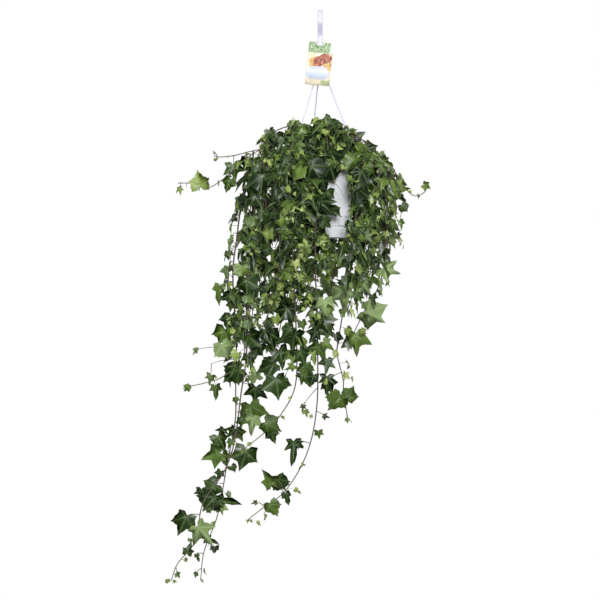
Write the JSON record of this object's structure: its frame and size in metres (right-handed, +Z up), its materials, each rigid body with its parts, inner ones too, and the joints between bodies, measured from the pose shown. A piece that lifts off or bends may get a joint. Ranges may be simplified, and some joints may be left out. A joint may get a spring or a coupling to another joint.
{
  "type": "hanging potted ivy",
  "caption": "Trailing ivy in a tapered plastic hanging pot with a drip saucer, a strap hanger with a hook, and a picture label.",
  "frame": {"origin": "the point inside the hook that rests on whatever the pot hangs from", "axes": "+Z up, -Y towards the front, +X to the right seen from the front"},
  "size_m": [0.4483, 0.3015, 0.9895],
  "materials": {
    "white_plastic": "smooth moulded, faintly translucent",
    "printed_card": "printed and coated, satin",
    "soil": "crumbly peat, matte",
    "ivy": "waxy green leaves on thin brown stems, satin"
  },
  "bodies": {
    "root": {"hanger": "white_plastic", "care_label": "printed_card", "pot": "white_plastic", "drip_saucer": "white_plastic", "potting_soil": "soil", "ivy_shoot_01": "ivy", "ivy_shoot_02": "ivy", "ivy_shoot_03": "ivy", "ivy_shoot_04": "ivy", "ivy_shoot_05": "ivy", "ivy_shoot_06": "ivy", "ivy_shoot_07": "ivy", "ivy_shoot_08": "ivy", "ivy_shoot_09": "ivy", "ivy_shoot_10": "ivy", "ivy_shoot_11": "ivy", "ivy_shoot_12": "ivy", "ivy_shoot_13": "ivy", "ivy_shoot_14": "ivy", "ivy_shoot_15": "ivy", "ivy_shoot_16": "ivy", "ivy_shoot_17": "ivy", "ivy_shoot_18": "ivy", "ivy_shoot_19": "ivy", "ivy_shoot_20": "ivy", "ivy_shoot_21": "ivy", "ivy_shoot_22": "ivy", "ivy_shoot_23": "ivy", "ivy_shoot_24": "ivy", "ivy_shoot_25": "ivy", "ivy_shoot_26": "ivy", "ivy_shoot_27": "ivy", "ivy_shoot_28": "ivy", "ivy_shoot_29": "ivy", "ivy_shoot_30": "ivy", "ivy_shoot_31": "ivy", "ivy_shoot_32": "ivy", "ivy_shoot_33": "ivy", "ivy_shoot_34": "ivy", "ivy_shoot_35": "ivy", "ivy_shoot_36": "ivy", "ivy_shoot_37": "ivy", "ivy_shoot_38": "ivy", "ivy_shoot_39": "ivy", "ivy_shoot_40": "ivy", "ivy_shoot_41": "ivy", "ivy_shoot_42": "ivy", "ivy_shoot_43": "ivy"}
  },
  "joints": []
}
